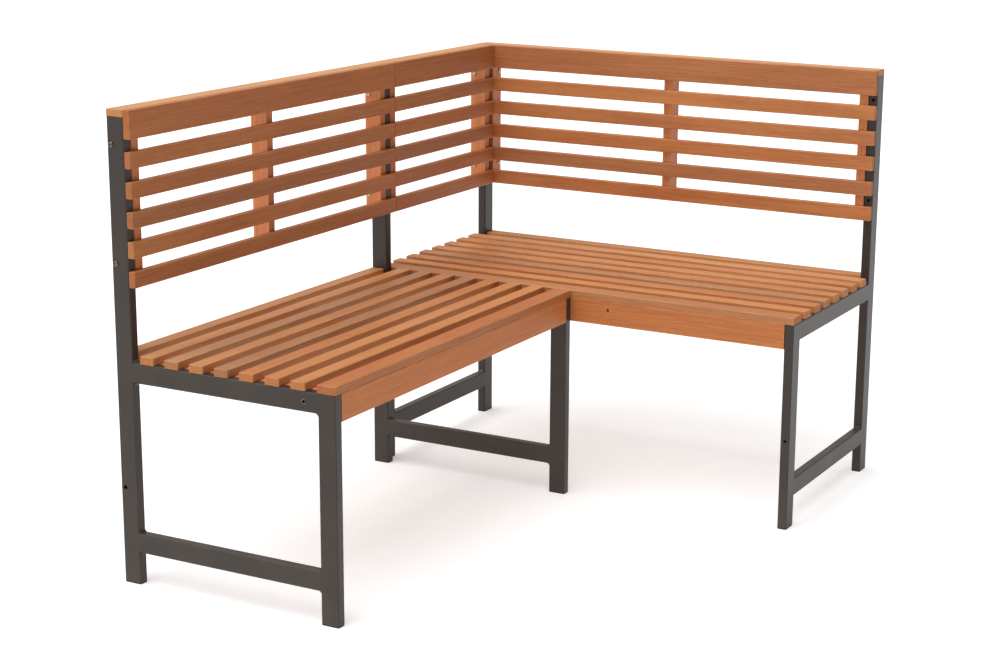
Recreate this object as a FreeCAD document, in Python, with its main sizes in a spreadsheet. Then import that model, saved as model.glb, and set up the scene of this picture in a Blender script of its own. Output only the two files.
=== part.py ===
import FreeCAD, Part
import math
import os
import Sketcher

# Corner bench of two arms that meet at a right angle. Each arm is a slatted seat and a slatted
# backrest of wooden boards on welded end frames of rectangular steel tube. Millimetres, +Z up,
# the right arm runs along X with its back at +Y, the left arm runs forward along -Y with its
# back at -X. The origin lies on the floor in the middle of the bench's outer box.

doc = FreeCAD.newDocument("CornerBench")
sheet = doc.addObject("Spreadsheet::Sheet", "Dims")

# Driving sizes
SIZES = (
    # the two arms
    ("left_length", "900", "left arm, outside its two end frames"),
    ("right_length", "1000", "right arm, outside its two end frames"),
    ("bench_depth", "490", "front to back of a frame"),
    ("seat_height", "453.5", "top of the seat slats"),
    ("post_height", "897", "top of a rear post"),
    # welded frames
    ("tube_width", "38", "wide side of the tube"),
    ("tube_thickness", "20", "narrow side of the tube"),
    ("tube_wall", "1.5", "wall of the tube"),
    ("tube_round", "3", "outer corner of the tube"),
    ("stretcher_height", "64.5", "underside of the foot stretcher"),
    ("bearer_weld", "10", "weld under the bearer, at the leg and at the post"),
    ("stretcher_weld", "5.5", "welds of the stretcher and on top of the bearer"),
    ("vent_side", "8", "square vent between the closed stretcher and the post"),
    # plastic feet
    ("foot_flange", "3", "part of a foot that shows"),
    ("foot_insert", "12", "part of a foot inside the tube"),
    ("foot_edge", "2", "upright corners of a foot"),
    # seat
    ("slat_count", "8", "narrow slats behind the front slat"),
    ("slat_width", "31", "narrow seat slat"),
    ("front_slat_width", "40", "front seat slat"),
    ("slat_thickness", "16", "all seat slats"),
    ("slat_inset", "0", "slats end this far inside an end frame's outer face"),
    ("apron_height", "52", "board under the front slat"),
    # backrest
    ("board_thickness", "14", "backrest boards, caps and aprons"),
    ("top_board_height", "54", "broad board along the top"),
    ("back_slat_count", "5", "backrest slats under the top board"),
    ("back_slat_height", "31", "backrest slat"),
    ("top_gap", "23", "gap under the top board"),
    ("back_gap", "24.5", "gap between backrest slats"),
    ("batten_thickness", "20", "battens behind the backrest and under the seat"),
    # eased edges of the wood
    ("slat_edge", "2", "seat and backrest slats"),
    ("board_edge", "1", "caps, top boards and aprons"),
    # clearances
    ("seam_gap", "2", "between the left and the corner backrest"),
    ("fit_gap", "0.5", "board end or batten beside its neighbour"),
    ("plug_gap", "0.2", "foot inside the tube, each side"),
    ("nut_flange", "1", "flange of a nut between two pieces that are bolted together"),
    ("thread_gap", "0.05", "between a bolt and its thread"),
    # bolts
    ("bolt_diameter", "6", "shank"),
    ("bolt_hole", "6.5", "clearance hole for the shank"),
    ("bolt_reach", "9", "length of the shank inside its thread"),
    ("thread_depth", "12", "threaded hole in a batten"),
    ("head_diameter", "12", "button head"),
    ("head_height", "3.3", "button head"),
    ("head_flat", "6.4", "flat top of the head"),
    ("socket_flats", "4", "hexagon socket, across flats"),
    ("socket_depth", "2", "hexagon socket"),
    # places of the bolts
    ("back_bolt_inset", "8.5", "backrest bolts, from the back of the post"),
    ("frame_bolt_height", "191", "bolt that ties the two arms"),
    ("frame_bolt_hole", "8.5", "wide hole for that bolt"),
    ("apron_bolt_inset", "68", "apron bolt, from the front of the left arm"),
)
for row, (name, size, meaning) in enumerate(SIZES, start=1):
    sheet.set(f"A{row}", name)
    sheet.set(f"B{row}", size)
    sheet.set(f"C{row}", meaning)
    sheet.setAlias(f"B{row}", name)
doc.recompute()


def value(expression):
    """Number that an expression of the sheet's sizes gives now."""
    return float(sheet.evalExpression(expression))


# Lines that several pieces share. Places are measured from the outer corner of the bench:
# across to the right, forward from the back, and up from the floor.
LEFT_EDGE = "-Dims.right_length / 2"
BACK_EDGE = "(Dims.bench_depth + Dims.nut_flange + Dims.left_length + Dims.head_height) / 2"

SEAT_BASE = "(Dims.seat_height - Dims.slat_thickness)"
BEARER_BASE = f"({SEAT_BASE} - Dims.tube_width)"
BACK_FACE = "Dims.tube_width"
BACK_FRONT = "(Dims.tube_width + Dims.board_thickness)"
BACK_TOP = "(Dims.post_height + Dims.board_thickness)"
TOP_BOARD_BASE = f"({BACK_TOP} - Dims.top_board_height)"
SLAT_PITCH = "(Dims.back_slat_height + Dims.back_gap)"
LOWEST_SLAT_TOP = f"({TOP_BOARD_BASE} - Dims.top_gap - (Dims.back_slat_count - 1) * {SLAT_PITCH})"
BACK_BASE = f"({LOWEST_SLAT_TOP} - Dims.back_slat_height)"
UPPER_BOLT = f"({TOP_BOARD_BASE} - Dims.top_gap / 2)"
LOWER_BOLT = f"({LOWEST_SLAT_TOP} + Dims.back_gap / 2)"
BEARER_MIDDLE = f"({SEAT_BASE} - Dims.tube_width / 2)"
TUBE_MIDDLE = "Dims.tube_thickness / 2"

# The flange of a threaded insert keeps the two arms, and each batten and its frame, apart
LEFT_START = "(Dims.bench_depth + Dims.nut_flange)"
LEFT_END = f"({LEFT_START} + Dims.left_length)"
LEFT_INNER_START = f"({LEFT_START} + Dims.tube_thickness)"
LEFT_INNER_END = f"({LEFT_END} - Dims.tube_thickness)"
RIGHT_INNER_START = "Dims.tube_thickness"
RIGHT_INNER_END = "(Dims.right_length - Dims.tube_thickness)"

APRON_BOLT = "(Dims.bench_depth - Dims.apron_bolt_inset)"

parts = []


# Sketches
def new_sketch(body, name, plane, offset="0"):
    """Empty sketch on one of the body's own origin planes, moved along the plane's normal."""
    sketch = body.newObject("Sketcher::SketchObject", name)
    support = [item for item in body.Origin.OriginFeatures if item.Role == plane][0]
    sketch.AttachmentSupport = [(support, "")]
    sketch.MapMode = "FlatFace"
    sketch.setExpression("AttachmentOffset.Base.z", offset)
    return sketch


def dimension(sketch, kind, element, point, expression):
    """Distance of one point from the sketch's origin, bound to the sheet."""
    size = value(expression)
    index = sketch.addConstraint(Sketcher.Constraint(kind, -1, 1, element, point, size))
    sketch.setExpression(f"Constraints[{index}]", expression)


def draw_rectangle(sketch, left, bottom, right, top):
    """Rectangle whose four sides are given by expressions."""
    corners = ((left, bottom), (right, bottom), (right, top), (left, top))
    points = [FreeCAD.Vector(value(across), value(up), 0) for across, up in corners]
    for i in range(4):
        sketch.addGeometry(Part.LineSegment(points[i], points[(i + 1) % 4]))
    for i, kind in enumerate(("Horizontal", "Vertical", "Horizontal", "Vertical")):
        sketch.addConstraint(Sketcher.Constraint("Coincident", i, 2, (i + 1) % 4, 1))
        sketch.addConstraint(Sketcher.Constraint(kind, i))
    dimension(sketch, "DistanceY", 0, 1, bottom)
    dimension(sketch, "DistanceX", 1, 1, right)
    dimension(sketch, "DistanceY", 2, 1, top)
    dimension(sketch, "DistanceX", 3, 1, left)


def draw_run(sketch, across, start, up, end):
    """Path that rises from start to up, then turns square and runs level to end."""
    corners = ((across, start), (across, up), (end, up))
    points = [FreeCAD.Vector(value(x), value(y), 0) for x, y in corners]
    for i in range(2):
        sketch.addGeometry(Part.LineSegment(points[i], points[i + 1]))
    sketch.addConstraint(Sketcher.Constraint("Coincident", 0, 2, 1, 1))
    sketch.addConstraint(Sketcher.Constraint("Vertical", 0))
    sketch.addConstraint(Sketcher.Constraint("Horizontal", 1))
    dimension(sketch, "DistanceX", 0, 1, across)
    dimension(sketch, "DistanceY", 0, 1, start)
    dimension(sketch, "DistanceY", 1, 1, up)
    dimension(sketch, "DistanceX", 1, 2, end)


def draw_eased(sketch, left, bottom, right, top, radius):
    """Rectangle whose four corners are cut where a round of that radius would meet 45 degrees."""
    cut = f"({radius} * (2 - sqrt(2)))"
    corners = (
        (f"({left} + {cut})", bottom), (f"({right} - {cut})", bottom),
        (right, f"({bottom} + {cut})"), (right, f"({top} - {cut})"),
        (f"({right} - {cut})", top), (f"({left} + {cut})", top),
        (left, f"({top} - {cut})"), (left, f"({bottom} + {cut})"),
    )
    points = [FreeCAD.Vector(value(across), value(up), 0) for across, up in corners]
    for i in range(8):
        sketch.addGeometry(Part.LineSegment(points[i], points[(i + 1) % 8]))
    for i in range(8):
        sketch.addConstraint(Sketcher.Constraint("Coincident", i, 2, (i + 1) % 8, 1))
    for i, (across, up) in enumerate(corners):
        dimension(sketch, "DistanceX", i, 1, across)
        dimension(sketch, "DistanceY", i, 1, up)


def draw_weld(sketch, corner, toward, size, hollow):
    """Section of a weld that fills the corner of two tubes, straight or hollowed to an arc."""
    across, up = corner
    right, above = toward
    far_across = f"({across} + {right} * {size})"
    far_up = f"({up} + {above} * {size})"
    first = sketch.GeometryCount
    places = ((across, up), (far_across, up), (across, far_up))
    root, foot, head = (FreeCAD.Vector(value(x), value(y), 0) for x, y in places)
    sketch.addGeometry(Part.LineSegment(root, foot))
    sketch.addGeometry(Part.LineSegment(head, root))
    sketch.addConstraint(Sketcher.Constraint("Coincident", first, 1, first + 1, 2))
    sketch.addConstraint(Sketcher.Constraint("Horizontal", first))
    sketch.addConstraint(Sketcher.Constraint("Vertical", first + 1))
    dimension(sketch, "DistanceX", first, 1, across)
    dimension(sketch, "DistanceY", first, 1, up)
    dimension(sketch, "DistanceX", first, 2, far_across)
    dimension(sketch, "DistanceY", first + 1, 1, far_up)
    if not hollow:
        sketch.addGeometry(Part.LineSegment(foot, head))
        sketch.addConstraint(Sketcher.Constraint("Coincident", first, 2, first + 2, 1))
        sketch.addConstraint(Sketcher.Constraint("Coincident", first + 2, 2, first + 1, 1))
        return
    centre = FreeCAD.Vector(foot.x, head.y, 0)
    circle = Part.Circle(centre, FreeCAD.Vector(0, 0, 1), (foot - centre).Length)
    ends = sorted(((foot, first, 2), (head, first + 1, 1)), key=lambda end: turn_of(end[0] - centre))
    if turn_of(ends[1][0] - centre) - turn_of(ends[0][0] - centre) > math.pi:
        ends.reverse()
    begin, finish = (turn_of(end[0] - centre) for end in ends)
    sketch.addGeometry(Part.ArcOfCircle(circle, begin, finish if finish > begin else finish + 2 * math.pi))
    sketch.addConstraint(Sketcher.Constraint("Coincident", ends[0][1], ends[0][2], first + 2, 1))
    sketch.addConstraint(Sketcher.Constraint("Coincident", ends[1][1], ends[1][2], first + 2, 2))
    dimension(sketch, "DistanceX", first + 2, 3, far_across)


def turn_of(vector):
    """Direction of a vector in its plane, from 0 to a full turn."""
    return math.atan2(vector.y, vector.x) % (2 * math.pi)


def draw_circle(sketch, across, up, diameter):
    """Circle whose centre is given by two expressions."""
    centre = FreeCAD.Vector(value(across), value(up), 0)
    circle = Part.Circle(centre, FreeCAD.Vector(0, 0, 1), value(diameter) / 2)
    sketch.addGeometry(circle)
    index = sketch.addConstraint(Sketcher.Constraint("Diameter", 0, value(diameter)))
    sketch.setExpression(f"Constraints[{index}]", diameter)
    dimension(sketch, "DistanceX", 0, 3, across)
    dimension(sketch, "DistanceY", 0, 3, up)


# Features
def pad(body, name, sketch, length, reverse=False):
    """Raise a sketch into a solid."""
    feature = body.newObject("PartDesign::Pad", name)
    feature.Profile = sketch
    feature.Reversed = reverse
    feature.setExpression("Length", length)
    return feature


def pipe(body, name, kind, section, run):
    """Sweep a section along a path with a mitred corner, adding or cutting."""
    feature = body.newObject(f"PartDesign::{kind}", name)
    feature.Profile = section
    feature.Spine = run
    feature.Transition = "Right corner"
    return feature


def pocket(body, name, sketch, length, reverse=False):
    """Cut a sketch into the solid and make sure that it takes material away."""
    body.recompute(True)
    before = body.Shape.Volume
    feature = body.newObject("PartDesign::Pocket", name)
    feature.Profile = sketch
    feature.Reversed = reverse
    feature.setExpression("Length", length)
    body.recompute(True)
    if body.Shape.Volume >= before:
        raise RuntimeError(f"{body.Label}: {name} cuts nothing")
    return feature


def trim_edges(kind, body, name, base, keep, size):
    """Fillet or chamfer the edges of the base feature that keep() picks."""
    base.recompute(True)
    edges = [f"Edge{i}" for i, edge in enumerate(base.Shape.Edges, start=1) if keep(edge)]
    feature = body.newObject(f"PartDesign::{kind}", name)
    feature.Base = (base, edges)
    feature.setExpression("Radius" if kind == "Fillet" else "Size", size)
    return feature


def along(edge, direction):
    """True for a straight edge that runs in the given direction."""
    if edge.Curve.TypeId != "Part::GeomLine":
        return False
    return abs(edge.Curve.Direction.dot(direction)) > 0.999


def place(item, across, forward, up, axis=None, angle=0):
    """Set an object down at a place measured from the outer corner, turned about an axis."""
    if axis:
        item.Placement = FreeCAD.Placement(FreeCAD.Vector(), FreeCAD.Rotation(axis, angle))
    item.setExpression("Placement.Base.x", f"{LEFT_EDGE} + {across}")
    item.setExpression("Placement.Base.y", f"{BACK_EDGE} - ({forward})")
    item.setExpression("Placement.Base.z", up)


X_AXIS = FreeCAD.Vector(1, 0, 0)
Y_AXIS = FreeCAD.Vector(0, 1, 0)
Z_AXIS = FreeCAD.Vector(0, 0, 1)


# Wooden boards
def board(label, run, box, easing=None, holes=()):
    """
    Board whose grain runs along X, Y or Z. The box gives where it starts and ends: across,
    forward and up. Its long edges are eased by a chamfer. A hole is the axis that it runs along,
    its two places in the face, its diameter and its depth; no depth means right through, and a
    depth is cut from the far face.
    """
    (x0, x1), (y0, y1), (z0, z1) = box
    wide, deep, tall = f"({x1} - ({x0}))", f"({y1} - ({y0}))", f"({z1} - ({z0}))"
    body = doc.addObject("PartDesign::Body", label)
    body.Label = label
    plane, corner, length, direction = {
        "X": ("YZ_Plane", (f"-{deep}", tall), wide, X_AXIS),
        "Y": ("XZ_Plane", (wide, tall), deep, Y_AXIS),
        "Z": ("XY_Plane", (wide, f"-{deep}"), tall, Z_AXIS),
    }[run]
    sketch = new_sketch(body, "Section", plane)
    across, up = corner
    draw_rectangle(sketch, "0", "0", across, up)
    solid = pad(body, "Length", sketch, length)
    if easing:
        trim_edges("Chamfer", body, "Edges", solid, lambda edge: along(edge, direction), easing)
    for i, (face, first, second, diameter, depth) in enumerate(holes, start=1):
        if face == "Y":
            plane, across, thickness = "XZ_Plane", f"{first} - ({x0})", deep
        else:
            plane, across, thickness = "YZ_Plane", f"({y0}) - {first}", wide
        start = thickness if depth else "0"
        sketch = new_sketch(body, f"HoleSketch{i}", plane, start)
        draw_circle(sketch, across, f"{second} - ({z0})", diameter)
        pocket(body, f"Hole{i}", sketch, depth or thickness, reverse=not depth)
    place(body, x0, y0, z0)
    parts.append(body)
    return body


def clear_of(start, end, gap="Dims.fit_gap"):
    """Span that stays a gap short of both ends."""
    return (f"({start} + {gap})", f"({end} - {gap})")


def span(start, size):
    """Span from its start and its size."""
    return (start, f"({start} + {size})")


def span_to(end, size):
    """Span that ends at a line."""
    return (f"({end} - {size})", end)


LEFT_BATTEN_1 = span(f"({LEFT_INNER_START} + Dims.nut_flange)", "Dims.batten_thickness")
LEFT_BATTEN_3 = span_to(f"({LEFT_INNER_END} - Dims.nut_flange)", "Dims.batten_thickness")
LEFT_MIDDLE = f"(({LEFT_START} + {LEFT_END} - Dims.batten_thickness) / 2)"
LEFT_BATTEN_2 = span(LEFT_MIDDLE, "Dims.batten_thickness")
RIGHT_BATTEN_1 = span(f"({RIGHT_INNER_START} + Dims.nut_flange)", "Dims.batten_thickness")
RIGHT_BATTEN_3 = span_to(f"({RIGHT_INNER_END} - Dims.nut_flange)", "Dims.batten_thickness")
RIGHT_BATTEN_2 = span("((Dims.right_length - Dims.batten_thickness) / 2)", "Dims.batten_thickness")
CORNER_BATTEN_1 = span(f"({BACK_FRONT} + Dims.fit_gap)", "Dims.batten_thickness")
CORNER_BATTEN_2 = span_to("Dims.bench_depth", "Dims.batten_thickness")

LEFT_BATTENS = (LEFT_BATTEN_1, LEFT_BATTEN_2, LEFT_BATTEN_3)
RIGHT_BATTENS = (RIGHT_BATTEN_1, RIGHT_BATTEN_2, RIGHT_BATTEN_3)

# Backrests: a cap on the posts, a broad board in front of it and slats below. The left and the
# corner panel follow the left arm's line, the right panel closes the corner behind them.
BEHIND = ("0", BACK_FACE)
FRONT = (BACK_FACE, BACK_FRONT)
LEFT_PANEL = (LEFT_START, LEFT_END)
CORNER_PANEL = (f"({BACK_FRONT} + Dims.fit_gap)", f"({LEFT_START} - Dims.seam_gap)")
RIGHT_PANEL = ("0", "Dims.right_length")

levels = [("cap", BEHIND, ("Dims.post_height", BACK_TOP), "Dims.board_edge")]
levels.append(("top", FRONT, (TOP_BOARD_BASE, BACK_TOP), "Dims.board_edge"))
for number in range(1, int(value("Dims.back_slat_count")) + 1):
    slat_top = f"({TOP_BOARD_BASE} - Dims.top_gap - {number - 1} * {SLAT_PITCH})"
    level = span_to(slat_top, "Dims.back_slat_height")
    levels.append((f"slat_{number}", FRONT, level, "Dims.slat_edge"))
for name, layer, level, easing in levels:
    board(f"left_back_{name}", "Y", (layer, LEFT_PANEL, level), easing)
    board(f"corner_back_{name}", "Y", (layer, CORNER_PANEL, level), easing)
    board(f"right_back_{name}", "X", (RIGHT_PANEL, layer, level), easing)


# Battens behind the backrests, as deep as the posts, with the bolt holes of each joint
def back_batten(label, face, run, holes):
    """Upright batten from the lowest slat to the cap, in line with the posts."""
    level = (BACK_BASE, "Dims.post_height")
    box = (BEHIND, run, level) if face == "Y" else (run, BEHIND, level)
    board(label, "Z", box, holes=holes)


def pair(face, place_in_face, diameter, depth=None):
    """The upper and the lower hole of a backrest joint."""
    return [(face, place_in_face, up, diameter, depth) for up in (UPPER_BOLT, LOWER_BOLT)]


THROUGH = "Dims.bolt_hole"
THREAD = "Dims.bolt_diameter + 2 * Dims.thread_gap"
SIDE_BOLT = "Dims.back_bolt_inset"

back_batten("left_back_batten_1", "Y", LEFT_BATTEN_1, pair("Y", SIDE_BOLT, THROUGH))
back_batten("left_back_batten_2", "Y", LEFT_BATTEN_2, ())
back_batten("left_back_batten_3", "Y", LEFT_BATTEN_3, pair("Y", SIDE_BOLT, THREAD, "Dims.thread_depth"))
back_batten("corner_back_batten_1", "Y", CORNER_BATTEN_1, pair("Y", TUBE_MIDDLE, THROUGH))
back_batten("corner_back_batten_2", "Y", CORNER_BATTEN_2,
            pair("Y", SIDE_BOLT, THREAD, "Dims.thread_depth"))
back_batten("right_back_batten_1", "X", RIGHT_BATTEN_1, pair("X", SIDE_BOLT, THROUGH))
back_batten("right_back_batten_2", "X", RIGHT_BATTEN_2, ())
back_batten("right_back_batten_3", "X", RIGHT_BATTEN_3, pair("X", SIDE_BOLT, THROUGH))

# Seats: even slats, the rear one between the posts, and a broader front slat over the apron
SEAT_LEVEL = (SEAT_BASE, "Dims.seat_height")
LEFT_SEAT = (LEFT_START, f"({LEFT_END} - Dims.slat_inset)")
RIGHT_SEAT = ("Dims.slat_inset", "(Dims.right_length - Dims.slat_inset)")
LEFT_INNER = clear_of(LEFT_INNER_START, LEFT_INNER_END)
RIGHT_INNER = clear_of(RIGHT_INNER_START, RIGHT_INNER_END)
FRONT_SLAT = span_to("Dims.bench_depth", "Dims.front_slat_width")
SEAT_PITCH = "(Dims.bench_depth - Dims.front_slat_width) / Dims.slat_count"

rows = []
for number in range(1, int(value("Dims.slat_count")) + 1):
    rows.append((f"slat_{number}", span(f"{number - 1} * {SEAT_PITCH}", "Dims.slat_width")))
rows.append(("front_slat", FRONT_SLAT))
for name, strip in rows:
    left_run = LEFT_INNER if name == "slat_1" else LEFT_SEAT
    right_run = RIGHT_INNER if name == "slat_1" else RIGHT_SEAT
    board(f"left_seat_{name}", "Y", (strip, left_run, SEAT_LEVEL), "Dims.slat_edge")
    board(f"right_seat_{name}", "X", (right_run, strip, SEAT_LEVEL), "Dims.slat_edge")

# Aprons between the front legs. The right one carries the bolt to the left arm's inner frame
# and the same hole mirrored, so that the arm can be turned round.
APRON_DEPTH = span_to("Dims.bench_depth", "Dims.board_thickness")
APRON_BACK = "(Dims.bench_depth - Dims.board_thickness)"
APRON_LEVEL = span_to(SEAT_BASE, "Dims.apron_height")
MIRRORED_BOLT = f"(Dims.right_length - {APRON_BOLT})"
apron_holes = [("Y", across, BEARER_MIDDLE, THROUGH, None) for across in (APRON_BOLT, MIRRORED_BOLT)]
board("left_apron", "Y", (APRON_DEPTH, LEFT_INNER, APRON_LEVEL), "Dims.board_edge")
board("right_apron", "X", (RIGHT_INNER, APRON_DEPTH, APRON_LEVEL), "Dims.board_edge", apron_holes)


def gather(label, items):
    """Equal pieces that share one name, kept as separate solids."""
    group = doc.addObject("Part::Compound", label)
    group.Label = label
    group.Links = items
    parts.append(group)
    return group


# Seat battens under the slats, from the back to the apron
def seat_battens(label, face, runs):
    """The battens under one seat."""
    depth = ("0", APRON_BACK)
    level = (BEARER_BASE, SEAT_BASE)
    items = []
    for number, run in enumerate(runs, start=1):
        box = (depth, run, level) if face == "Y" else (run, depth, level)
        grain = "X" if face == "Y" else "Y"
        items.append(board(f"{label}_{number}", grain, box))
        parts.pop()
    gather(label, items)


seat_battens("left_seat_battens", "Y", LEFT_BATTENS)
seat_battens("right_seat_battens", "X", RIGHT_BATTENS)


# Welded frames
def frame(label, holes):
    """
    Welded frame of one size of tube, drawn from the back to the front along its own X, with
    its thickness along Y: rear post, front leg mitred to the seat bearer, and stretcher.
    A hole is the face it starts from, its place along the frame, its height and its diameter.
    """
    body = doc.addObject("PartDesign::Body", label)
    body.Label = label
    foot, top, seat = "Dims.foot_flange", "Dims.post_height", SEAT_BASE
    post, leg, front = "Dims.tube_width", "(Dims.bench_depth - Dims.tube_width)", "Dims.bench_depth"
    low = "Dims.stretcher_height"
    high = "(Dims.stretcher_height + Dims.tube_width)"
    side = "Dims.tube_thickness"
    into_post = "(Dims.tube_width - Dims.tube_round)"
    into_leg = f"({leg} + Dims.tube_round)"
    leg_middle = f"({leg} + Dims.tube_width / 2)"

    # rear post
    sketch = new_sketch(body, "PostSection", "XY_Plane", foot)
    draw_eased(sketch, "0", "0", post, side, "Dims.tube_round")
    pad(body, "Post", sketch, f"{top} - {foot}")

    # front leg and seat bearer, mitred where they meet; the bearer runs into the post's corners
    leg_section = new_sketch(body, "LegSection", "XY_Plane", foot)
    draw_eased(leg_section, leg, "0", front, side, "Dims.tube_round")
    run = new_sketch(body, "LegRun", "XZ_Plane", f"-{TUBE_MIDDLE}")
    draw_run(run, leg_middle, foot, BEARER_MIDDLE, into_post)
    pipe(body, "LegAndBearer", "AdditivePipe", leg_section, run)

    # stretcher between the post and the leg
    sketch = new_sketch(body, "StretcherSection", "YZ_Plane", into_post)
    draw_eased(sketch, "0", low, side, high, "Dims.tube_round")
    pad(body, "Stretcher", sketch, f"{into_leg} - {into_post}")

    # welds between the flat sides of the tubes, broad and hollow under the bearer
    sketch = new_sketch(body, "WeldSection", "XZ_Plane", "-Dims.tube_round")
    for corner, toward in (((post, BEARER_BASE), (1, -1)), ((leg, BEARER_BASE), (-1, -1))):
        draw_weld(sketch, corner, toward, "Dims.bearer_weld", True)
    small = (((post, seat), (1, 1)), ((post, high), (1, 1)), ((leg, high), (-1, 1)),
             ((post, low), (1, -1)), ((leg, low), (-1, -1)))
    for corner, toward in small:
        draw_weld(sketch, corner, toward, "Dims.stretcher_weld", False)
    pad(body, "Welds", sketch, "Dims.tube_thickness - 2 * Dims.tube_round", reverse=True)

    # bores of the tubes
    wall = "Dims.tube_wall"
    inside = "(Dims.tube_thickness - Dims.tube_wall)"
    sketch = new_sketch(body, "PostBoreSection", "XY_Plane", foot)
    draw_rectangle(sketch, wall, wall, f"({post} - {wall})", inside)
    pocket(body, "PostBore", sketch, f"{top} - {foot}", reverse=True)
    bore_section = new_sketch(body, "LegBoreSection", "XY_Plane", foot)
    draw_rectangle(bore_section, f"({leg} + {wall})", wall, f"({front} - {wall})", inside)
    run = new_sketch(body, "LegBoreRun", "XZ_Plane", f"-{TUBE_MIDDLE}")
    draw_run(run, leg_middle, foot, BEARER_MIDDLE, post)
    pipe(body, "LegAndBearerBore", "SubtractivePipe", bore_section, run)
    sketch = new_sketch(body, "StretcherBoreSection", "YZ_Plane", post)
    draw_rectangle(sketch, wall, f"({low} + {wall})", inside, f"({high} - {wall})")
    pocket(body, "StretcherBore", sketch, f"{leg} - {post}", reverse=True)

    # the stretcher is closed at both ends, so it has a vent into the post
    sketch = new_sketch(body, "VentSketch", "YZ_Plane", post)
    vent_left, vent_right = (f"({TUBE_MIDDLE} {sign} Dims.vent_side / 2)" for sign in "-+")
    vent_low, vent_high = (f"(({low} + {high}) / 2 {sign} Dims.vent_side / 2)" for sign in "-+")
    draw_rectangle(sketch, vent_left, vent_low, vent_right, vent_high)
    pocket(body, "Vent", sketch, wall)

    for i, (face, place_along, up, diameter) in enumerate(holes, start=1):
        plane, start, length, flip = {
            "near": ("XZ_Plane", "0", wall, False),
            "far": ("XZ_Plane", "-Dims.tube_thickness", wall, True),
            "through": ("XZ_Plane", "0", "Dims.tube_thickness", False),
            "post front": ("YZ_Plane", post, wall, False),
            "leg front": ("YZ_Plane", front, wall, False),
        }[face]
        sketch = new_sketch(body, f"HoleSketch{i}", plane, start)
        draw_circle(sketch, place_along, up, diameter)
        pocket(body, f"Hole{i}", sketch, length, flip)
    parts.append(body)
    return body


def frame_pair(face, place_along, diameter):
    """The upper and the lower hole of a backrest joint in a post."""
    return [(face, place_along, up, diameter) for up in (UPPER_BOLT, LOWER_BOLT)]


TIE_HOLE = ("through", TUBE_MIDDLE, "Dims.frame_bolt_height", "Dims.frame_bolt_hole")
TIE_THREAD = ("leg front", TUBE_MIDDLE, "Dims.frame_bolt_height", THREAD)

left_end = frame("left_end_frame", frame_pair("through", SIDE_BOLT, THROUGH)
                 + [("near", APRON_BOLT, BEARER_MIDDLE, THREAD), TIE_HOLE])
left_inner = frame("left_inner_frame", frame_pair("through", SIDE_BOLT, THROUGH)
                   + [("far", APRON_BOLT, BEARER_MIDDLE, THREAD), TIE_HOLE])
right_inner = frame("right_inner_frame", frame_pair("far", SIDE_BOLT, THREAD)
                    + frame_pair("post front", TUBE_MIDDLE, THREAD) + [TIE_THREAD])
right_end = frame("right_end_frame", frame_pair("near", SIDE_BOLT, THREAD)
                  + frame_pair("post front", TUBE_MIDDLE, THREAD) + [TIE_THREAD])
place(left_end, "0", LEFT_END, "0")
place(left_inner, "0", LEFT_INNER_START, "0")
place(right_inner, "0", "0", "0", Z_AXIS, -90)
place(right_end, RIGHT_INNER_END, "0", "0", Z_AXIS, -90)


def copies(label, source, places):
    """Copies of one piece, each with its place and turn, gathered under one name."""
    items = []
    for number, (across, forward, up, axis, angle) in enumerate(places, start=1):
        link = doc.addObject("App::Link", f"{label}_{number}")
        link.LinkedObject = source
        place(link, across, forward, up, axis, angle)
        items.append(link)
    return items


# Plastic feet pushed into the open ends of the tubes
foot_plug = doc.addObject("PartDesign::Body", "FootPlug")
flange_sketch = new_sketch(foot_plug, "FlangeSketch", "XY_Plane")
draw_rectangle(flange_sketch, "0", "0", "Dims.tube_width", "Dims.tube_thickness")
flange = pad(foot_plug, "Flange", flange_sketch, "Dims.foot_flange")
trim_edges("Chamfer", foot_plug, "FlangeEdges", flange, lambda edge: along(edge, Z_AXIS), "Dims.foot_edge")
plug_sketch = new_sketch(foot_plug, "PlugSketch", "XY_Plane", "Dims.foot_flange")
PLUG_SIDE = "(Dims.tube_wall + Dims.plug_gap)"
PLUG_WIDE = f"(Dims.tube_width - {PLUG_SIDE})"
PLUG_DEEP = f"(Dims.tube_thickness - {PLUG_SIDE})"
draw_rectangle(plug_sketch, PLUG_SIDE, PLUG_SIDE, PLUG_WIDE, PLUG_DEEP)
pad(foot_plug, "Plug", plug_sketch, "Dims.foot_insert")

LEG_START = "(Dims.bench_depth - Dims.tube_width)"
foot_places = []
for forward in (LEFT_END, LEFT_INNER_START):
    for across in ("0", LEG_START):
        foot_places.append((across, forward, "0", Z_AXIS, 0))
for across in ("0", RIGHT_INNER_END):
    for forward in ("0", LEG_START):
        foot_places.append((across, forward, "0", Z_AXIS, -90))
gather("foot_plugs", copies("foot_plug", foot_plug, foot_places))


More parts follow.
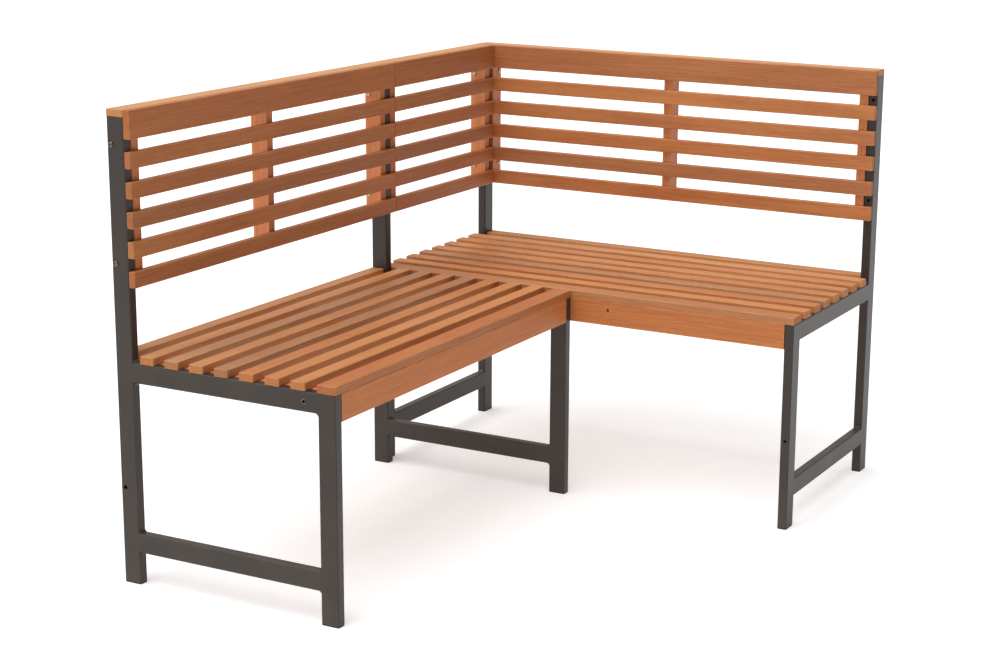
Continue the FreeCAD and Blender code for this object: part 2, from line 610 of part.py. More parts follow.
# Button head bolts with a hexagon socket, the head above and the shank below the local origin
def bolt(label, length):
    """Bolt whose shank has the given length."""
    body = doc.addObject("PartDesign::Body", label)
    sketch = new_sketch(body, "Profile", "XZ_Plane")
    shank, head, flat = "Dims.bolt_diameter / 2", "Dims.head_diameter / 2", "Dims.head_flat / 2"
    corners = (
        ("0", f"-{length}"), (shank, f"-{length}"), (shank, "0"), (head, "0"),
        (flat, "Dims.head_height"), ("0", "Dims.head_height"),
    )
    points = [FreeCAD.Vector(value(across), value(up), 0) for across, up in corners]
    for i in range(len(points)):
        sketch.addGeometry(Part.LineSegment(points[i], points[(i + 1) % len(points)]))
    for i in range(len(points)):
        after = (i + 1) % len(points)
        sketch.addConstraint(Sketcher.Constraint("Coincident", i, 2, after, 1))
    for i, (across, up) in enumerate(corners):
        dimension(sketch, "DistanceX", i, 1, across)
        dimension(sketch, "DistanceY", i, 1, up)
    turned = body.newObject("PartDesign::Revolution", "Turned")
    turned.Profile = sketch
    turned.ReferenceAxis = (sketch, ["V_Axis"])
    turned.Angle = 360

    socket = new_sketch(body, "SocketSketch", "XY_Plane", "Dims.head_height")
    across_corners = "Dims.socket_flats / sqrt(3)"
    radius = value(across_corners)
    turn = math.radians(60)
    hexagon = [FreeCAD.Vector(radius * math.cos(k * turn), radius * math.sin(k * turn), 0) for k in range(6)]
    for k in range(6):
        socket.addGeometry(Part.LineSegment(hexagon[k], hexagon[(k + 1) % 6]))
    circle = Part.Circle(FreeCAD.Vector(), FreeCAD.Vector(0, 0, 1), radius)
    guide = socket.addGeometry(circle, True)
    for k in range(6):
        socket.addConstraint(Sketcher.Constraint("Coincident", k, 2, (k + 1) % 6, 1))
        socket.addConstraint(Sketcher.Constraint("PointOnObject", k, 1, guide))
        if k:
            socket.addConstraint(Sketcher.Constraint("Equal", 0, k))
    socket.addConstraint(Sketcher.Constraint("Coincident", guide, 3, -1, 1))
    socket.addConstraint(Sketcher.Constraint("PointOnObject", 0, 1, -1))
    index = socket.addConstraint(Sketcher.Constraint("Radius", guide, radius))
    socket.setExpression(f"Constraints[{index}]", across_corners)
    pocket(body, "Socket", socket, "Dims.socket_depth")
    return body


POST_TO_BATTEN = "(Dims.tube_thickness + Dims.nut_flange + Dims.bolt_reach)"
BATTEN_TO_POST = "(Dims.batten_thickness + Dims.nut_flange + Dims.bolt_reach)"
end_bolt = bolt("EndBolt", POST_TO_BATTEN)
batten_bolt = bolt("BattenBolt", BATTEN_TO_POST)
seam_bolt = bolt("SeamBolt", f"({LEFT_BATTEN_1[1]} - Dims.bench_depth + Dims.bolt_reach)")
corner_bolt = bolt("CornerBolt", f"({CORNER_BATTEN_1[1]} - {BACK_FACE} + Dims.bolt_reach)")
apron_bolt = bolt("ApronBolt", "(Dims.board_thickness + Dims.nut_flange + Dims.bolt_reach)")

# Which way a head faces, as a turn of its local Z
TO_FRONT = (X_AXIS, 90)
TO_BACK = (X_AXIS, -90)
TO_RIGHT = (Y_AXIS, 90)
TO_LEFT = (Y_AXIS, -90)


def both(across, forward, facing):
    """Upper and lower place of a backrest joint."""
    return [(across, forward, up, *facing) for up in (UPPER_BOLT, LOWER_BOLT)]


gather("end_bolts", copies("end_bolt", end_bolt, both(SIDE_BOLT, LEFT_END, TO_FRONT)))

TIE_POINT = "Dims.frame_bolt_height"
joint_bolts = copies("seam_bolt", seam_bolt, both(SIDE_BOLT, LEFT_BATTEN_1[1], TO_FRONT))
joint_bolts += copies("corner_bolt", corner_bolt, both(TUBE_MIDDLE, CORNER_BATTEN_1[1], TO_FRONT))
joint_bolts += copies("inner_bolt", batten_bolt, both(RIGHT_BATTEN_1[1], SIDE_BOLT, TO_RIGHT))
joint_bolts += copies("outer_bolt", batten_bolt, both(RIGHT_BATTEN_3[0], SIDE_BOLT, TO_LEFT))
joint_bolts += copies("tie_bolt", end_bolt, [(TUBE_MIDDLE, LEFT_INNER_START, TIE_POINT, *TO_FRONT)])
joint_bolts += copies("apron_bolt", apron_bolt, [(APRON_BOLT, APRON_BACK, BEARER_MIDDLE, *TO_BACK)])
gather("joint_bolts", joint_bolts)

# Check everything before anything is written
doc.recompute()
for item in doc.Objects:
    if "Invalid" in item.State or "Error" in item.State:
        raise RuntimeError(f"{item.Label} is {item.State}")
for part in parts:
    if part.Shape.isNull() or not part.Shape.isValid():
        raise RuntimeError(f"{part.Label} has no valid shape")

os.makedirs("parts", exist_ok=True)
for part in parts:
    part.Shape.exportStep(f"parts/{part.Label}.step")
print(f"{len(parts)} named pieces, {sum(len(part.Shape.Solids) for part in parts)} solids")
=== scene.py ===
# %% [markdown]
# # A corner bench of oiled boards on coated steel frames
# The solids of the bench come in as a fixed frame, one object for each board and each welded frame.
# This lesson dresses them: boards with eased edges and real grain, coated tubes, bolts, plugs and nuts.
# The first cell brings the solids in and keeps the box that they fill, so that the look can be held to it.

# %% Bring in the solids
import math
import random

import bmesh
import bpy
from mathutils import Matrix, Vector


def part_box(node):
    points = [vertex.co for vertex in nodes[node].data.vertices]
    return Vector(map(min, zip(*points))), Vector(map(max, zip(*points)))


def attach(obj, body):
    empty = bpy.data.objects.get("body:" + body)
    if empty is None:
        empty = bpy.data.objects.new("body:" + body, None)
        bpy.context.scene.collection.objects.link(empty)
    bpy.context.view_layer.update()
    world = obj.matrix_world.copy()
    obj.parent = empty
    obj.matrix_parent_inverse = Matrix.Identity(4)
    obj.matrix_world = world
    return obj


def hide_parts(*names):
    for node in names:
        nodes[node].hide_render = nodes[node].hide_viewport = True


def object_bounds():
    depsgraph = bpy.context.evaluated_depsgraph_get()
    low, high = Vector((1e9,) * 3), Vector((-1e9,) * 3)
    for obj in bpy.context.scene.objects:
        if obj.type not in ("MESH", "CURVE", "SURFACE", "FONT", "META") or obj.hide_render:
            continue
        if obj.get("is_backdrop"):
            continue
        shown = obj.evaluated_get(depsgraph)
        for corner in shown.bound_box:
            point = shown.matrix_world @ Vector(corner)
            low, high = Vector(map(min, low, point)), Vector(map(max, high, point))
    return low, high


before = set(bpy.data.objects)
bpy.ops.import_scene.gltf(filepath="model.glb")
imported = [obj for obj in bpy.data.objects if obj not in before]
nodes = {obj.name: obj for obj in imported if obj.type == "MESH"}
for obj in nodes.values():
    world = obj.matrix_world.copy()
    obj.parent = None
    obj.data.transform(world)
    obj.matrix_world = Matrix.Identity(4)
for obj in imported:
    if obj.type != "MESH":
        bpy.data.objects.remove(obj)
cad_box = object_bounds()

print(len(nodes), "solids come in, and fill", [round(v, 3) for v in cad_box[1] - cad_box[0]], "m")

# %% [markdown]
# ## A few words for shader sums
# Wood is a solid thing: its rings run right through a board and show on its ends.
# Such a finish is a sum over the place in the board, and sums read best as plain Python.
# One small class wraps a socket, so that + - * / and ** each add the Math node that they stand for.

# %% A socket that can stand in a sum
class Wire:
    """One socket in a material's node tree. Sums of wires add Math nodes to it."""

    def __init__(self, tree, socket=None):
        self.tree, self.socket = tree, socket

    def add(self, kind, settings=None, inputs=None, out=0):
        """Adds a node: its settings first, then the values or wires of its sockets."""
        node = self.tree.nodes.new("ShaderNode" + kind)
        for key, value in (settings or {}).items():
            setattr(node, key, value)
        for key, value in (inputs or {}).items():
            if isinstance(value, Wire):
                self.tree.links.new(value.socket, node.inputs[key])
            else:
                node.inputs[key].default_value = value
        return Wire(self.tree, node.outputs[out])

    def math(self, operation, *values):
        return self.add("Math", {"operation": operation}, dict(enumerate(values)))

    def __add__(self, other):
        return self.math("ADD", self, other)

    def __radd__(self, other):
        return self.math("ADD", other, self)

    def __sub__(self, other):
        return self.math("SUBTRACT", self, other)

    def __rsub__(self, other):
        return self.math("SUBTRACT", other, self)

    def __mul__(self, other):
        return self.math("MULTIPLY", self, other)

    def __rmul__(self, other):
        return self.math("MULTIPLY", other, self)

    def __truediv__(self, other):
        return self.math("DIVIDE", self, other)

    def __pow__(self, other):
        return self.math("POWER", self, other)

    def __abs__(self):
        return self.math("ABSOLUTE", self)

    def least(self, other):
        return self.math("MINIMUM", self, other)

    def most(self, other):
        return self.math("MAXIMUM", self, other)

    def fraction(self):
        return self.math("FRACT", self)

    def step(self, low, high):
        """0 below low and 1 above high, with a soft rise between them. High may be the lower one."""
        limits = {"Value": self, "From Min": low, "From Max": high}
        return self.add("MapRange", {"interpolation_type": "SMOOTHSTEP"}, limits)


print("sums are ready")

# %% [markdown]
# ## Starting a finish
# Every finish ends in one Principled shader, and reads the place on the object in metres.
# The solids all sit at the origin, so object coordinates are the bench's own coordinates, and a grain never slides.
# These helpers start a material, give its place in parts, make noise, mix two colours and close it.

# %% Helpers that start and close a finish
def colour_of(red, green, blue):
    """A screen colour, 0 to 255, as the linear colour that a shader wants."""
    shares = (level / 255 for level in (red, green, blue))
    return tuple(share / 12.92 if share < 0.0404 else ((share + 0.055) / 1.055) ** 2.4 for share in shares)


def start(name):
    """A new material, and a wire on its empty tree."""
    material = bpy.data.materials.new(name)
    material.use_nodes = True
    material.node_tree.nodes.clear()
    return material, Wire(material.node_tree)


def parts_of(wire, output="Object"):
    """X, Y and Z of the place (or of the face's direction, for Normal) as three wires."""
    place = wire.add("TexCoord", out=output)
    return [wire.add("SeparateXYZ", inputs={"Vector": place}, out=k) for k in range(3)]


def noise(wire, x, y, z, detail=2.0, rough=0.5):
    """Soft noise over three numbers."""
    place = wire.add("CombineXYZ", inputs={0: x, 1: y, 2: z})
    return wire.add("TexNoise", inputs={"Vector": place, "Scale": 1.0, "Detail": detail, "Roughness": rough})


def mix(wire, factor, first, second):
    """Goes from the first colour to the second as the factor rises."""
    def filled(colour):
        return colour if isinstance(colour, Wire) else (*colour, 1.0)

    return wire.add("Mix", {"data_type": "RGBA"}, {0: factor, 6: filled(first), 7: filled(second)}, out=2)


def show(wire, shader, kind="Material"):
    """Joins a shader to the output of its tree."""
    end = wire.tree.nodes.new("ShaderNodeOutput" + kind)
    wire.tree.links.new(shader.socket, end.inputs["Surface"])


def close(wire, bump, height, strength, **sockets):
    """The Principled shader with these sockets and a bump of this height in metres, and the output."""
    inputs = {key.replace("_", " "): value for key, value in sockets.items()}
    inputs["Normal"] = wire.add("Bump", inputs={"Strength": strength, "Distance": height, "Height": bump})
    show(wire, wire.add("BsdfPrincipled", inputs=inputs))


print("finishes can be started")

# %% [markdown]
# ## Oiled hardwood
# The boards are sawn from a straight-grained, honey-brown hardwood and oiled.
# Each board is cut from its own spot in a log, so each has its own heart line some way off, which its rings go round.
# The distance to that line gives the rings, on the faces as long stripes and on the ends as arcs.
# Both come from one sum, so nothing has to be matched up.
# Fine fibres, short dark pores, slow patches of red and gold, and a paler band along the edges come on top: patchy
# rubbed wear with a painted edge highlight.
# A noise is drawn out into fibres by a small number along the grain and large ones across it.

# %% The oiled hardwood of one board
HONEY, RUSSET, HEART = colour_of(208, 136, 78), colour_of(187, 110, 58), colour_of(140, 76, 36)
PALE, PORE, DUSK = colour_of(232, 174, 114), colour_of(96, 50, 24), colour_of(158, 110, 76)
AMBER, APRICOT = colour_of(224, 130, 62), colour_of(250, 158, 100)
RING_WIDTH = (0.0021, 0.0036)
HEART_AWAY = (0.045, 0.12)
# Width of the paler band along the edges: rubbed wear and a painted edge highlight.
WEAR_AND_HIGHLIGHT_WIDTH = 0.0030


def oiled_wood(name, low, high, chance, tone=0.0, bleach=0.0, dusk=0.45, fresh=PALE):
    """A finish for a board that fills the box from low to high. Its grain runs along the longest side.
    Tone makes it redder, bleach brings it nearer to the fresh colour, and dusk is the most that chance may
    turn it toward grey brown."""
    material, wire = start(name)
    size = high - low
    run = max(range(3), key=lambda axis: size[axis])
    across = [axis for axis in range(3) if axis != run]
    place = parts_of(wire)
    a = place[run] + chance.uniform(-40, 40)
    b, c = (place[axis] - (low[axis] + high[axis]) / 2 for axis in across)

    sway = noise(wire, a * 1.7, b * 9, c * 9, 2.0) - 0.5
    turn, away = chance.uniform(0, math.tau), chance.uniform(*HEART_AWAY)
    sideways = b - away * math.cos(turn)
    upward = c - away * math.sin(turn)
    distance = (sideways * sideways + upward * upward) ** 0.5
    ring = ((distance + sway * 0.014) / chance.uniform(*RING_WIDTH)).fraction()
    late = ring.step(0.25, 0.95) * ring.step(1.0, 0.93)

    fibre = noise(wire, a * 16, b * 620, c * 620, 3.0, 0.6)
    pore = noise(wire, a * 55, b * 1500, c * 1500, 1.0).step(0.62, 0.72)
    patch = noise(wire, a * 2.6, b * 16, c * 16, 1.0).step(0.3, 0.7)
    streak = noise(wire, a * 5, b * 130, c * 130, 2.0).step(0.35, 0.75)

    lean = min(max(chance.uniform(-0.32, 0.32) + tone, -0.5), 0.5)
    colour = mix(wire, (patch * 0.55 + (0.25 + lean)).most(0.0).least(1.0), HONEY, RUSSET)
    colour = mix(wire, max(0.0, chance.uniform(-dusk, dusk)), colour, DUSK)
    colour = mix(wire, bleach, colour, fresh)
    colour = mix(wire, streak * 0.26, colour, HEART)
    colour = mix(wire, late * 0.22, colour, HEART)
    colour = mix(wire, fibre.step(0.45, 0.8) * 0.24, colour, PALE)
    colour = mix(wire, pore * 0.32, colour, PORE)

    # A paler, slightly rougher band in patches near every edge: rubbed wear together with a painted edge highlight.
    inset = [(place[axis] - low[axis]).least(high[axis] - place[axis]) for axis in range(3)]
    near = inset[0].least(inset[1]).most(inset[0].most(inset[1]).least(inset[2]))
    wear_and_edge_highlight = near.step(WEAR_AND_HIGHLIGHT_WIDTH, 0.0004) * noise(wire, a * 22, b * 60, c * 60, 3.0).step(0.35, 0.65)
    colour = mix(wire, wear_and_edge_highlight * 0.30, colour, PALE)

    end = abs(parts_of(wire, "Normal")[run]).step(0.6, 0.8)
    colour = mix(wire, end * (0.18 + 0.22 * late), colour, HEART)
    close(
        wire,
        bump=late * 0.5 + fibre * 0.8 - pore * 0.9,
        height=0.00018,
        strength=0.5,
        Base_Color=colour,
        Roughness=0.46 + fibre * 0.14 - late * 0.06 + end * 0.15 + wear_and_edge_highlight * 0.08,
        IOR=1.45,
    )
    return material


print("wood goes from honey", [round(v, 3) for v in HONEY], "to russet", [round(v, 3) for v in RUSSET])

# %% [markdown]
# ## Coated steel, plastic and plated steel
# The tubes have a satin powder coat, dark warm grey, with the fine dimples that such a coat dries with.
# It is paler and warmer in patches near the floor and a little rubbed in places, and faces that look up carry a
# painted highlight.
# The foot plugs are moulded plastic, and the bolts are plated, some grey and some with a yellow tint.
# Every pattern is noise on the place in metres, so a factor of 420 makes dimples a few millimetres wide.

# %% The coat, the plastic and the plating
def coated_steel(name="satin_coat"):
    """Powder coat: dimples, slow clouds, spots worn by rubbing, paler warm patches low down, and a painted highlight
    on faces that look up.
    """
    material, wire = start(name)
    x, y, z = parts_of(wire)
    dimple = noise(wire, x * 420, y * 420, z * 420, 2.0)
    cloud = noise(wire, x * 7, y * 7, z * 5, 3.0, 0.6)
    rub = noise(wire, x * 60, y * 60, z * 24, 4.0, 0.7).step(0.66, 0.85)
    # Paler, warmer and rougher patches within 0.2 m of the floor.
    near_floor_patches = z.step(0.20, 0.0) * noise(wire, x * 12, y * 12, z * 9, 3.0).step(0.2, 0.8)
    # Faces that look up are painted paler in patches: a painted highlight on the tops of the tubes.
    upward = parts_of(wire, "Normal")[2].step(0.6, 0.95) * cloud.step(0.35, 0.7)
    colour = mix(wire, cloud.step(0.3, 0.7), colour_of(50, 42, 36), colour_of(58, 49, 42))
    colour = mix(wire, rub * 0.25, colour, colour_of(104, 98, 92))
    # Both go to the same pale warm grey: the low patches, and the painted highlight on upward faces.
    colour = mix(wire, near_floor_patches * 0.12 + upward * 0.16, colour, colour_of(132, 120, 104))
    close(
        wire,
        bump=dimple,
        height=0.00008,
        strength=0.35,
        Base_Color=colour,
        Roughness=0.36 + cloud * 0.08 + rub * 0.06 + near_floor_patches * 0.12,
        IOR=1.5,
        Specular_IOR_Level=0.4,
    )
    return material


def moulded_plastic(name="moulded_plastic"):
    """Black plastic, scuffed where it meets the floor."""
    material, wire = start(name)
    x, y, z = parts_of(wire)
    fine = noise(wire, x * 1500, y * 1500, z * 1500, 2.0)
    scuff = noise(wire, x * 200, y * 200, z * 60, 3.0, 0.7).step(0.55, 0.75) * z.step(0.006, 0.0)
    colour = mix(wire, scuff * 0.5, colour_of(30, 30, 31), colour_of(92, 90, 88))
    rough = 0.46 + fine * 0.14 + scuff * 0.2
    close(wire, bump=fine, height=0.00005, strength=0.4, Base_Color=colour, Roughness=rough)
    return material


def plated_steel(name, clean, tinted):
    """Thin plating that clouds from one tint to another."""
    material, wire = start(name)
    x, y, z = parts_of(wire)
    cloud = noise(wire, x * 260, y * 260, z * 260, 2.0)
    grain = noise(wire, x * 2600, y * 2600, z * 2600, 2.0)
    colour = mix(wire, cloud.step(0.35, 0.65), clean, tinted)
    rough = 0.26 + cloud * 0.16
    close(wire, bump=grain, height=0.00003, strength=0.3, Base_Color=colour, Metallic=1.0, Roughness=rough)
    return material


COAT, PLASTIC = coated_steel(), moulded_plastic()
BRIGHT = plated_steel("bright_plating", colour_of(122, 117, 108), colour_of(96, 91, 84))
YELLOW = plated_steel("yellow_plating", colour_of(206, 188, 140), colour_of(178, 168, 146))
print("finishes:", COAT.name, PLASTIC.name, BRIGHT.name, YELLOW.name)

# %% [markdown]
# ## Dressing what stays
# The welded frames, the plugs, the drilled rails and the aprons keep their own solids and only take a finish.
# A solid's mesh is never changed, so the finish goes into the material slots that it came with.
# The aprons and rails look warmer than the seat, so their wood leans to fresh amber and apricot.

# %% A finish for each solid that stays
APRON_TONES = {"left_apron": (0.4, 0.70), "right_apron": (0.5, 0.25)}
RAIL_TONE = (0.10, 0.60)


def dress(node, material):
    """Puts a finish on every slot of a solid."""
    piece = nodes[node]
    if not piece.material_slots:
        piece.data.materials.append(material)
    for holder in piece.material_slots:
        holder.material = material


chance = random.Random(11)
for node in sorted(nodes):
    if node.endswith("_frame"):
        dress(node, COAT)
    elif node == "foot_plugs":
        dress(node, PLASTIC)
    elif node == "end_bolts":
        dress(node, BRIGHT)
    elif node == "joint_bolts":
        dress(node, YELLOW)
    elif "batten" in node or "apron" in node:
        tone, bleach = APRON_TONES.get(node, RAIL_TONE)
        fresh = AMBER if node in APRON_TONES else APRICOT
        dress(node, oiled_wood("wood_of_" + node, *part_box(node), chance, tone, bleach, 0.0, fresh))
print("dressed:", sum("batten" in n or "apron" in n for n in nodes), "rails and the steel")

# %% [markdown]
# ## Boards with eased edges
# On the real bench the long edges of each board are rounded over before oiling, and they catch a thin line of light.
# A solid has a plain chamfer there.
# A cube that is stretched to the board's box and bevelled in four steps gives the round.
# Each board is rounded a little more or less than the next one, as hand-fed boards are.
# The caps are the palest boards. The left and corner panels are redder than the right one.

# %% Make every loose board
SLAT_EASE, BOARD_EASE = 0.0017, 0.0014


def tones_of(node):
    """How red and how bleached a board is, and how far it may turn grey brown."""
    tone, bleach = (-0.4, 0.55) if "cap" in node else (0.0, chance.uniform(0.0, 0.30))
    if "_back_slat" in node or "back_top" in node:
        tone, bleach = (0.10, 0.0) if node.startswith("right") else (0.35, 0.0)
    if node == "left_seat_front_slat":
        tone, bleach = 0.4, 0.0
    return tone, bleach, 0.75 if "seat" in node else 0.45


def eased_board(node, ease):
    """A board in the place of the solid, with its edges rounded over."""
    low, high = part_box(node)
    size = high - low
    shape = bmesh.new()
    bmesh.ops.create_cube(shape, size=1.0)
    bmesh.ops.scale(shape, vec=size, verts=shape.verts)
    bmesh.ops.translate(shape, vec=(low + high) / 2, verts=shape.verts)
    bmesh.ops.bevel(
        shape, geom=shape.edges[:], offset=ease, offset_type="OFFSET",
        segments=4, profile=0.5, affect="EDGES", material=-1,
    )
    mesh = bpy.data.meshes.new("eased_" + node)
    shape.to_mesh(mesh)
    shape.free()
    board = bpy.data.objects.new("eased_" + node, mesh)
    bpy.context.scene.collection.objects.link(board)
    mesh.materials.append(oiled_wood("wood_of_" + node, low, high, chance, *tones_of(node)))
    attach(board, "root")
    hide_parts(node)
    return board


boards = []
for node in sorted(nodes):
    if any(word in node for word in ("batten", "apron", "frame", "bolts", "plugs")):
        continue
    ease = SLAT_EASE if "seat" in node or "_slat_" in node else BOARD_EASE
    boards.append(eased_board(node, ease * chance.uniform(0.85, 1.15)))
print(len(boards), "boards with eased edges")

# %% [markdown]
# ## Bolts, screws and threaded inserts
# Each joint is closed by a button head bolt with a hexagon socket, which goes into an insert in a tube or a rail.
# The boards are held from behind and from below by countersunk screws with a star recess.
# All of these are turned shapes: a ring of edges is pulled out again and again, and grows, shrinks or moves each time.
# One ring is pressed into a hexagon or a star, goes down for the recess, and is filled at the bottom.

# %% A turned fastener
ROUND, HEXAGON, STAR = "round", "hexagon", "star"


def reach(kind, angle):
    """How far an outline of size 1 reaches at an angle."""
    if kind == HEXAGON:
        return 1 / math.cos((angle % (math.pi / 3)) - math.pi / 6)
    return 1 + 0.14 * math.cos(6 * angle) if kind == STAR else 1.0


def turned(rings, around=24, closed=False):
    """A shape round Z, in millimetres. Each ring is its radius, its height and its outline."""
    shape = bmesh.new()
    first = bmesh.ops.create_circle(shape, cap_ends=False, segments=around, radius=1.0)["verts"]
    edges = shape.edges[:]
    begin, row = edges, first
    for count, (radius, height, *kind) in enumerate(rings):
        if count:
            pulled = bmesh.ops.extrude_edge_only(shape, edges=edges)["geom"]
            row = [part for part in pulled if isinstance(part, bmesh.types.BMVert)]
            edges = [part for part in pulled if isinstance(part, bmesh.types.BMEdge)]
        for corner in row:
            angle = math.atan2(corner.co.y, corner.co.x)
            far = radius * reach(kind[0] if kind else ROUND, angle) / 1000
            corner.co = Vector((math.cos(angle) * far, math.sin(angle) * far, height / 1000))
    if closed:
        bmesh.ops.bridge_loops(shape, edges=begin + edges)
    else:
        bmesh.ops.contextual_create(shape, geom=begin)
        bmesh.ops.contextual_create(shape, geom=edges)
    bmesh.ops.recalc_face_normals(shape, faces=shape.faces)
    return shape


def set_in(name, shape, places, material):
    """Copies of a turned shape, each at a point and facing a way, joined to one piece."""
    joined = bmesh.new()
    single = bpy.data.meshes.new("single_" + name)
    shape.to_mesh(single)
    shape.free()
    for point, way in places:
        start_at = len(joined.verts)
        joined.from_mesh(single)
        joined.verts.ensure_lookup_table()
        spin = Matrix.Rotation(chance.uniform(0, math.tau), 4, "Z")
        turn = Vector(way).to_track_quat("Z", "Y").to_matrix().to_4x4() @ spin
        placed = Matrix.Translation(Vector(point) / 1000) @ turn
        bmesh.ops.transform(joined, matrix=placed, verts=joined.verts[start_at:])
    bpy.data.meshes.remove(single)
    mesh = bpy.data.meshes.new(name)
    joined.to_mesh(mesh)
    joined.free()
    for face in mesh.polygons:
        face.use_smooth = True
    mesh.set_sharp_from_angle(angle=math.radians(32))
    mesh.materials.append(material)
    piece = bpy.data.objects.new(name, mesh)
    bpy.context.scene.collection.objects.link(piece)
    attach(piece, "root")
    return piece


def button_head(length):
    """Rings of a bolt of this length under its head: tip, shank, domed head and socket."""
    return [
        (2.4, -length), (3.0, -length + 0.6), (3.0, 0), (5.7, 0), (6.0, 0.25), (6.0, 0.9), (5.75, 1.6),
        (5.2, 2.3), (4.3, 2.9), (3.3, 3.25), (2.6, 3.3), (2.0, 3.3, HEXAGON), (2.0, 1.3, HEXAGON),
    ]


print("a bolt has", len(button_head(30)) - 1, "bands of faces")

# %% [markdown]
# The places are those of the bench's own holes, in millimetres. A bolt's way is the way that its head faces.
# The bolts through the end frame's post are plated grey, and the ones inside the bench are plated yellow.

# %% Bolts
LEFT, RIGHT, FRONT, BACK, DOWN = (-1, 0, 0), (1, 0, 0), (0, -1, 0), (0, 1, 0), (0, 0, -1)
BACK_LEVELS, SEAT_LEVEL, TIE_LEVEL = (845.5, 624.25), 418.5, 191.0
POST_X, TUBE_X, APRON_X = -491.5, -490.0, -78.0
POST_Y, RAIL_X, FRAME_X = 688.65, 459.0, 480.0
LEFT_SEAT_X, RIGHT_SEAT_Y = (-400.0, -110.0), (597.15, 307.15)
LONG_BOLT, SHORT_BOLT = 30, 18


def pair(x, y, way):
    """The two places of one backrest joint."""
    return [((x, y, z), way) for z in BACK_LEVELS]


def across_left(y, way):
    """The two places on a bearer of the left seat."""
    return [((x, y, SEAT_LEVEL), way) for x in LEFT_SEAT_X]


def across_right(x, way):
    """The two places on a bearer of the right seat."""
    return [((x, y, SEAT_LEVEL), way) for y in RIGHT_SEAT_Y]


end_places = pair(POST_X, -693.85, FRONT)
bolt_places = pair(POST_X, 165.15, FRONT) + pair(TUBE_X, 624.65, FRONT)
bolt_places += pair(-RAIL_X, POST_Y, RIGHT) + pair(RAIL_X, POST_Y, LEFT)
bolt_places += [((TUBE_X, 186.15, TIE_LEVEL), FRONT), ((APRON_X, 221.15, SEAT_LEVEL), BACK)]
seat_places = across_left(165.15, FRONT) + across_left(-652.85, BACK)
seat_places += across_right(-RAIL_X, RIGHT) + across_right(RAIL_X, LEFT)

end_heads = set_in("end_bolt_heads", turned(button_head(LONG_BOLT)), end_places, BRIGHT)
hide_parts("end_bolts")
joint_heads = set_in("joint_bolt_heads", turned(button_head(LONG_BOLT)), bolt_places, YELLOW)
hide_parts("joint_bolts")
seat_heads = set_in("seat_bolt_heads", turned(button_head(SHORT_BOLT)), seat_places, YELLOW)
print(len(end_places), "grey bolts and", len(bolt_places) + len(seat_places), "yellow ones")

# %% [markdown]
# A threaded insert shows only its flange, a thin ring on the tube. Where no bolt is in it, the ring has a dark bore.
# The ones on the right end frame were coated with the tube, so they are as dark as it is.

# %% Flanges of the threaded inserts
flange = [
    (3.06, -0.3), (3.06, 0.1), (4.3, 0.92), (4.5, 1.0),
    (5.2, 0.98), (5.6, 0.7), (5.75, 0.3), (5.75, -0.3),
]
plain_places = pair(POST_X, -672.85, FRONT) + pair(POST_X, 207.15, FRONT) + pair(TUBE_X, 659.15, FRONT)
plain_places += pair(-FRAME_X, POST_Y, RIGHT) + pair(FRAME_X, POST_Y, LEFT)
plain_places += [((TUBE_X, 207.15, TIE_LEVEL), FRONT)]
plain_places += [((APRON_X, 206.15, SEAT_LEVEL), BACK), ((APRON_X, -693.85, SEAT_LEVEL), FRONT)]
plain_places += across_left(186.15, FRONT) + across_left(-673.85, BACK)
plain_places += across_right(-FRAME_X, RIGHT) + across_right(FRAME_X, LEFT)
coated_places = pair(-TUBE_X, 659.15, FRONT) + [((-TUBE_X, 207.15, TIE_LEVEL), FRONT)]
set_in("insert_flanges", turned(flange, closed=True), plain_places, BRIGHT)
set_in("coated_insert_flanges", turned(flange, closed=True), coated_places, COAT)
print(len(plain_places), "plain flanges and", len(coated_places), "coated ones")

# %% [markdown]
# Every board is screwed to each rail behind or under it, so the heads follow from the boxes of the boards and rails.
# A seat's rails share one solid, so the middles of the three are given.

# %% Screws behind the back and under the seat
def middle(node, axis):
    """Half way through a solid along an axis, in millimetres."""
    low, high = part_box(node)
    return (low[axis] + high[axis]) * 500


SEAT_RAILS = {"left": (-662.85, -243.85, 175.15), "right": (-469.0, 0.0, 469.0)}
screw = [(2.2, -3.0), (3.6, -0.2), (3.75, 0.12), (3.5, 0.3), (2.4, 0.42), (1.5, 0.42, STAR), (1.3, -0.9, STAR)]
screw_places = []
for node in sorted(nodes):
    if "_back_batten_" in node:
        arm = node.split("_")[0]
        low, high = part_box(node)
        for board in sorted(nodes):
            if board.startswith(arm + "_back_slat") or board == arm + "_back_top":
                along = 0 if arm == "right" else 1
                point = [0.0, 0.0, middle(board, 2)]
                point[along] = middle(node, along)
                point[1 - along] = high.y * 1000 if arm == "right" else low.x * 1000
                screw_places.append((point, BACK if arm == "right" else LEFT))
for arm in ("left", "right"):
    low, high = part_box(arm + "_seat_battens")
    along, over = (1, 0) if arm == "left" else (0, 1)
    for board in sorted(nodes):
        if board.startswith(arm + "_seat_slat") or board.startswith(arm + "_seat_front"):
            for spot in SEAT_RAILS[arm]:
                point = [0.0, 0.0, low.z * 1000]
                point[along], point[over] = spot, middle(board, over)
                screw_places.append((point, DOWN))
set_in("wood_screw_heads", turned(screw), screw_places, YELLOW)
print(len(screw_places), "wood screws")

# %% [markdown]
# ## The room
# The bench stands in a white studio: pale floor, soft light from above and from the viewer's right.
# The floor is a large sheet, which also throws light back up under the seat.
# Its colour for the camera is lifted to white where nothing shades it, so that the shadow stays.

# %% Floor
WHITE = (1.0, 1.0, 1.0, 1.0)
FLOOR_LIFT = 0.36


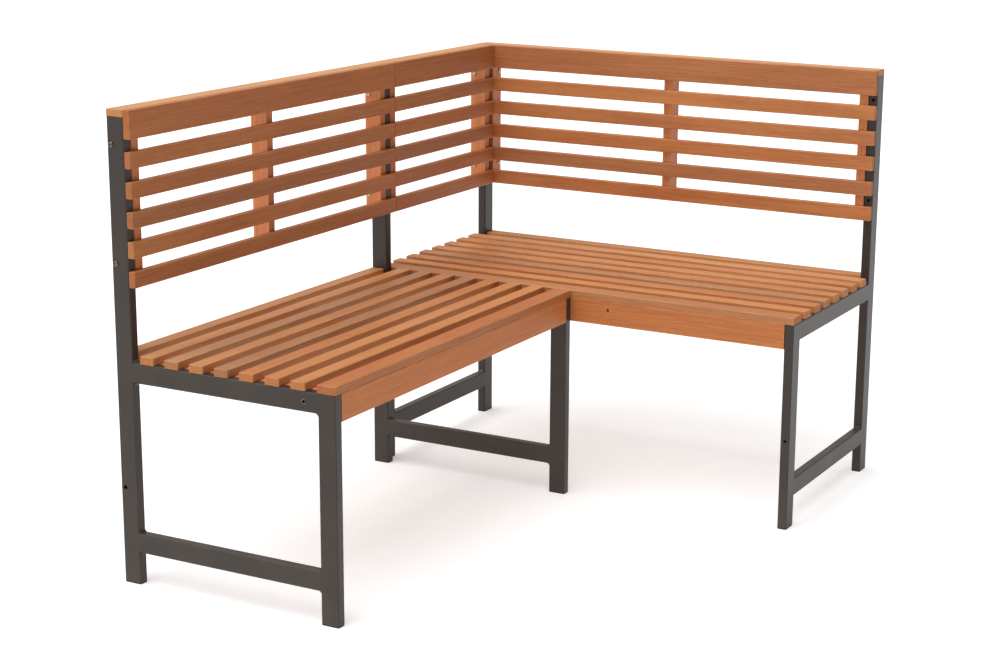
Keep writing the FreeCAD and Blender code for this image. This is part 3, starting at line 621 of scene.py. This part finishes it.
def studio_floor():
    """A large pale sheet that keeps the bench's shadow."""
    shape = bmesh.new()
    bmesh.ops.create_grid(shape, x_segments=8, y_segments=8, size=30.0)
    mesh = bpy.data.meshes.new("studio_floor")
    shape.to_mesh(mesh)
    shape.free()
    sheet = bpy.data.objects.new("studio_floor", mesh)
    bpy.context.scene.collection.objects.link(sheet)
    material, wire = start("studio_floor")
    seen = wire.add("LightPath", out="Is Camera Ray").most(wire.add("LightPath", out="Is Glossy Ray"))
    seen = seen.most(wire.add("LightPath", out="Is Transmission Ray"))
    paint = wire.add("BsdfDiffuse", inputs={"Color": (0.80, 0.80, 0.80, 1.0)})
    lift = wire.add("Emission", inputs={"Color": WHITE, "Strength": seen * FLOOR_LIFT})
    both = wire.add("AddShader", inputs={0: paint, 1: lift})
    show(wire, both)
    mesh.materials.append(material)
    sheet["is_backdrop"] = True
    return sheet


floor = studio_floor()
print("floor", [round(v, 1) for v in floor.dimensions])

# %% [markdown]
# ## Light
# A wide sky lights the bench, dimmer from the right, and one very soft lamp from above gives the tops their lift.
# The sky that the camera sees is plain white. The one that lights is dimmer, and it is the one that metal mirrors.

# %% Sky and lamp
world = bpy.data.worlds.new("white_studio")
bpy.context.scene.world = world
world.use_nodes = True
world.node_tree.nodes.clear()
sky = Wire(world.node_tree)
seen = sky.add("LightPath", out="Is Camera Ray").most(sky.add("LightPath", out="Is Transmission Ray"))
way = parts_of(sky, "Generated")
SKY = 0.66
even = SKY + 0.04 * (0 - way[1]).most(0.0) - SKY * way[0].most(0.0)
lit = sky.add("Background", inputs={"Color": WHITE, "Strength": even})
white = sky.add("Background", inputs={"Color": WHITE, "Strength": 1.0})
show(sky, sky.add("MixShader", inputs={0: seen, 1: lit, 2: white}), "World")

lamp = bpy.data.lights.new("soft_lamp", "SUN")
lamp.energy, lamp.angle = 2.35, math.radians(60)
holder = bpy.data.objects.new("soft_lamp", lamp)
bpy.context.scene.collection.objects.link(holder)
holder.rotation_mode = "QUATERNION"
holder.rotation_quaternion = Vector((-0.06, -0.36, 0.93)).to_track_quat("Z", "Y")
print("sky", SKY, "and lamp", lamp.energy)

# %% [markdown]
# ## The camera
# The camera stands where the picture was taken from: about 4 m away, half a metre above the back's top edge.
# Its place, turn and lens come from lining up the bench's corners with the picture. A small shift centres the crop.

# %% Camera
yaw, pitch, roll = math.radians(-27.4203), math.radians(-13.8866), math.radians(0.6998)
ahead = Vector((math.sin(yaw) * math.cos(pitch), math.cos(yaw) * math.cos(pitch), math.sin(pitch)))
level = ahead.cross(Vector((0, 0, 1))).normalized()
upright = level.cross(ahead)
right = level * math.cos(roll) + upright * math.sin(roll)
above = upright * math.cos(roll) - level * math.sin(roll)
view = bpy.data.cameras.new("photo_view")
view.sensor_width, view.lens = 36.0, 73.694
view.shift_x, view.shift_y = -0.06503, -0.00533
view.clip_end = 100.0
stand = bpy.data.objects.new("photo_view", view)
bpy.context.scene.collection.objects.link(stand)
facing = Matrix((right, above, -ahead)).transposed().to_4x4()
stand.matrix_world = Matrix.Translation(Vector((1.94616, -3.58904, 1.42483))) @ facing
bpy.context.scene.camera = stand
bpy.context.scene.view_settings.view_transform = "Standard"
print("camera at", [round(v, 2) for v in stand.location], "lens", round(view.lens, 1), "mm")

# %% [markdown]
# ## The two boxes
# This cell prints the box of the solids and the box of what is shown. The look may stand a few
# millimetres proud of the solids at most.

# %% Print the boxes
shown_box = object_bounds()
for word, (low, high) in (("solids", cad_box), ("shown", shown_box)):
    print(word, [round(v, 4) for v in high - low])
